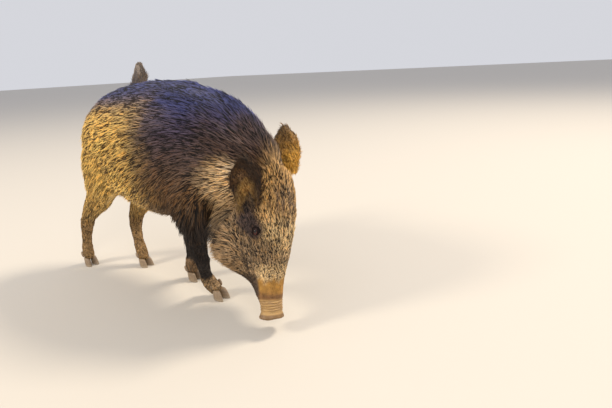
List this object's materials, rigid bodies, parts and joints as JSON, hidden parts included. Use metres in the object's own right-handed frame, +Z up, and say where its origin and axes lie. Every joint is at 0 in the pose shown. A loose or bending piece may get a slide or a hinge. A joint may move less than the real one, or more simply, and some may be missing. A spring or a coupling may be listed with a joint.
{
  "type": "wild boar",
  "caption": "Still life-size wild boar, walking with its head down: heavy bristly body on thin legs with paired hooves, long wedge head with a flat snout disc, upright ears, raised tail",
  "frame": {"origin": "on the floor under the middle of the overall box", "axes": "+X the way the trunk faces, +Y the animal's left, +Z up"},
  "size_m": [1.131, 0.4072, 0.8523],
  "materials": {
    "coat": "coarse grizzled bristles, dark brown at the root and straw at the tip",
    "horn": "dull brown-grey hoof horn with faint rings",
    "snout_skin": "bare tan skin, slightly moist",
    "eye": "dark wet eyeball"
  },
  "bodies": {
    "root": {"barrel": "coat", "head": "coat", "left_ear": "coat", "left_eye": "eye", "left_fore_cannon": "coat", "left_fore_foot": "coat", "left_fore_forearm": "coat", "left_fore_left_claw": "horn", "left_fore_left_dewclaw": "horn", "left_fore_right_claw": "horn", "left_fore_right_dewclaw": "horn", "left_hind_cannon": "coat", "left_hind_foot": "coat", "left_hind_gaskin": "coat", "left_hind_left_claw": "horn", "left_hind_left_dewclaw": "horn", "left_hind_right_claw": "horn", "left_hind_right_dewclaw": "horn", "lower_jaw": "coat", "neck": "coat", "right_ear": "coat", "right_eye": "eye", "right_fore_cannon": "coat", "right_fore_foot": "coat", "right_fore_forearm": "coat", "right_fore_left_claw": "horn", "right_fore_left_dewclaw": "horn", "right_fore_right_claw": "horn", "right_fore_right_dewclaw": "horn", "right_hind_cannon": "coat", "right_hind_foot": "coat", "right_hind_gaskin": "coat", "right_hind_left_claw": "horn", "right_hind_left_dewclaw": "horn", "right_hind_right_claw": "horn", "right_hind_right_dewclaw": "horn", "rump": "coat", "shoulders": "coat", "snout_disc": "snout_skin", "tail": "coat", "tail_tuft": "coat"}
  },
  "joints": []
}
